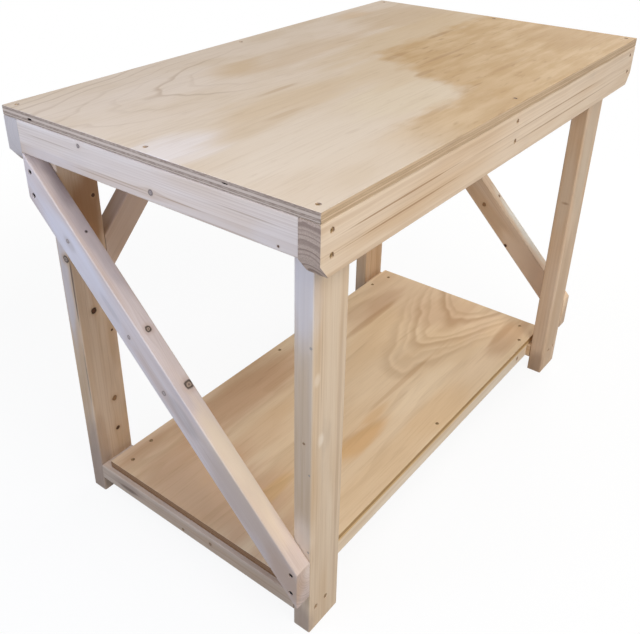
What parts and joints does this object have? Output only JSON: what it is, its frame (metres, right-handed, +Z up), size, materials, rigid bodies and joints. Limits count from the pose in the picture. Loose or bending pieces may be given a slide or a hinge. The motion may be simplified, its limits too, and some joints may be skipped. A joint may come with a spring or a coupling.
{
  "type": "workbench",
  "caption": "Free-standing softwood workbench with a plywood top, a low plywood shelf, upright legs, diagonal end braces and back knee braces, held by countersunk screws.",
  "frame": {"origin": "on the floor, below the middle of the worktop", "axes": "+X along the bench's length, to the right seen from the front; +Y from the front to the back; +Z up"},
  "size_m": [1.22, 0.71, 0.91],
  "materials": {
    "timber": "planed bare softwood",
    "top_ply": "bare softwood plywood, pale face",
    "shelf_ply": "bare softwood plywood, yellower face",
    "screw": "dull zinc plate"
  },
  "bodies": {
    "root": {"top_board": "top_ply", "front_top_rail": "timber", "back_top_rail": "timber", "left_top_rail": "timber", "right_top_rail": "timber", "centre_top_rail": "timber", "front_left_leg": "timber", "front_right_leg": "timber", "back_left_leg": "timber", "back_right_leg": "timber", "left_end_brace": "timber", "right_end_brace": "timber", "back_left_knee_brace": "timber", "back_right_knee_brace": "timber", "left_shelf_rail": "timber", "right_shelf_rail": "timber", "front_shelf_rail": "timber", "back_shelf_rail": "timber", "shelf_board": "shelf_ply", "top_screw_1": "screw", "top_screw_2": "screw", "top_screw_3": "screw", "top_screw_4": "screw", "top_screw_5": "screw", "top_screw_6": "screw", "top_screw_7": "screw", "top_screw_8": "screw", "front_left_rail_screw_1": "screw", "front_left_rail_screw_2": "screw", "front_centre_rail_screw_1": "screw", "front_centre_rail_screw_2": "screw", "front_right_rail_screw_1": "screw", "front_right_rail_screw_2": "screw", "back_left_rail_screw_1": "screw", "back_left_rail_screw_2": "screw", "back_centre_rail_screw_1": "screw", "back_centre_rail_screw_2": "screw", "back_right_rail_screw_1": "screw", "back_right_rail_screw_2": "screw", "left_front_brace_screw_1": "screw", "left_front_brace_screw_2": "screw", "left_back_brace_screw_1": "screw", "left_back_brace_screw_2": "screw", "right_front_brace_screw_1": "screw", "right_front_brace_screw_2": "screw", "right_back_brace_screw_1": "screw", "right_back_brace_screw_2": "screw", "front_left_foot_screw_1": "screw", "front_left_foot_screw_2": "screw", "front_right_foot_screw_1": "screw", "front_right_foot_screw_2": "screw", "back_left_foot_screw_1": "screw", "back_left_foot_screw_2": "screw", "back_right_foot_screw_1": "screw", "back_right_foot_screw_2": "screw"}
  },
  "joints": []
}
